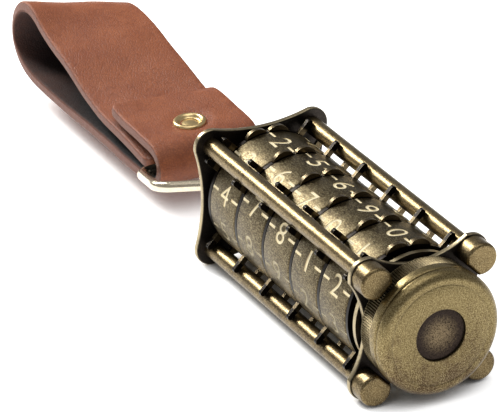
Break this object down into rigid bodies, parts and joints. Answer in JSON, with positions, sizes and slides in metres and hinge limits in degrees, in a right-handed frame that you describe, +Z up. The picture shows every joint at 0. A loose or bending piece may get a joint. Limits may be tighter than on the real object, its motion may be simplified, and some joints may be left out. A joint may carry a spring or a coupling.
{
  "type": "combination cryptex",
  "caption": "Combination cryptex: numbered brass dial rings in a four-rod cage lock a sliding vault, with a domed end cap, a wire loop and a riveted leather strap.",
  "frame": {"origin": "under the middle of the whole object, on the surface that it lies on", "axes": "+X along the dial axis from the strap towards the end cap, +Z up, +Y to the side"},
  "size_m": [0.1824, 0.0378, 0.0317],
  "materials": {
    "antique_brass": "satin antique brass, dark in its recesses",
    "ring_brass": "satin antique brass, brushed round the axis",
    "dark_brass": "blackened brass with worn bright edges",
    "dark_inset": "dark brown patina, lighter in the middle",
    "inner_brass": "plain turned brass",
    "spring_steel": "plain",
    "pale_wire": "polished pale nickel",
    "strap_leather": "smooth reddish brown leather, paler cut edges",
    "rivet_brass": "polished brass"
  },
  "bodies": {
    "frame": {"rear_plate": "dark_brass", "front_plate": "dark_brass", "tie_rod_1": "antique_brass", "tie_rod_2": "antique_brass", "tie_rod_3": "antique_brass", "tie_rod_4": "antique_brass", "post_screw_1": "antique_brass", "post_screw_2": "antique_brass", "post_screw_3": "antique_brass", "post_screw_4": "antique_brass", "rear_nut_1": "antique_brass", "rear_nut_2": "antique_brass", "rear_nut_3": "antique_brass", "rear_nut_4": "antique_brass", "spacer_plate_1": "dark_brass", "spacer_plate_2": "dark_brass", "spacer_plate_3": "dark_brass", "spacer_plate_4": "dark_brass", "spacer_plate_5": "dark_brass", "spacer_plate_6": "dark_brass", "rear_bush": "dark_brass", "front_bush": "dark_brass", "core_tube": "inner_brass", "tube_plug": "inner_brass", "hanger_nut": "antique_brass", "hanger_eye": "antique_brass"},
    "dial_1": {"dial_ring_1": "ring_brass", "detent_ball_1": "spring_steel", "detent_spring_1": "spring_steel"},
    "dial_2": {"dial_ring_2": "ring_brass", "detent_ball_2": "spring_steel", "detent_spring_2": "spring_steel"},
    "dial_3": {"dial_ring_3": "ring_brass", "detent_ball_3": "spring_steel", "detent_spring_3": "spring_steel"},
    "dial_4": {"dial_ring_4": "ring_brass", "detent_ball_4": "spring_steel", "detent_spring_4": "spring_steel"},
    "dial_5": {"dial_ring_5": "ring_brass", "detent_ball_5": "spring_steel", "detent_spring_5": "spring_steel"},
    "vault": {"vault_tube": "inner_brass", "lock_bar": "inner_brass", "end_cap": "antique_brass", "cap_pin": "antique_brass", "cap_inset": "dark_inset"},
    "loop": {"loop_ring": "pale_wire"},
    "strap": {"strap": "strap_leather", "rivet_foot": "rivet_brass", "rivet_cap": "rivet_brass"}
  },
  "joints": [
    {"name": "dial_1_turn", "type": "hinge", "parent": "frame", "child": "dial_1", "pos_m": [0.02166, 0, 0.01585], "axis": [1, 0, 0], "continuous": true},
    {"name": "dial_2_turn", "type": "hinge", "parent": "frame", "child": "dial_2", "pos_m": [0.03396, 0, 0.01585], "axis": [1, 0, 0], "continuous": true},
    {"name": "dial_3_turn", "type": "hinge", "parent": "frame", "child": "dial_3", "pos_m": [0.04626, 0, 0.01585], "axis": [1, 0, 0], "continuous": true},
    {"name": "dial_4_turn", "type": "hinge", "parent": "frame", "child": "dial_4", "pos_m": [0.05856, 0, 0.01585], "axis": [1, 0, 0], "continuous": true},
    {"name": "dial_5_turn", "type": "hinge", "parent": "frame", "child": "dial_5", "pos_m": [0.07086, 0, 0.01585], "axis": [1, 0, 0], "continuous": true},
    {"name": "vault_slide", "type": "slide", "parent": "frame", "child": "vault", "axis": [1, 0, 0], "range_m": [0, 0.066]},
    {"name": "loop_swing", "type": "hinge", "parent": "frame", "child": "loop", "pos_m": [0.00796, 0, 0.01585], "axis": [0, 1, 0], "range_deg": [-65, 90]},
    {"name": "strap_swing", "type": "hinge", "parent": "loop", "child": "strap", "pos_m": [-0.01646, 0, 0.01003], "axis": [0, 1, 0], "range_deg": [-80, 80]}
  ]
}
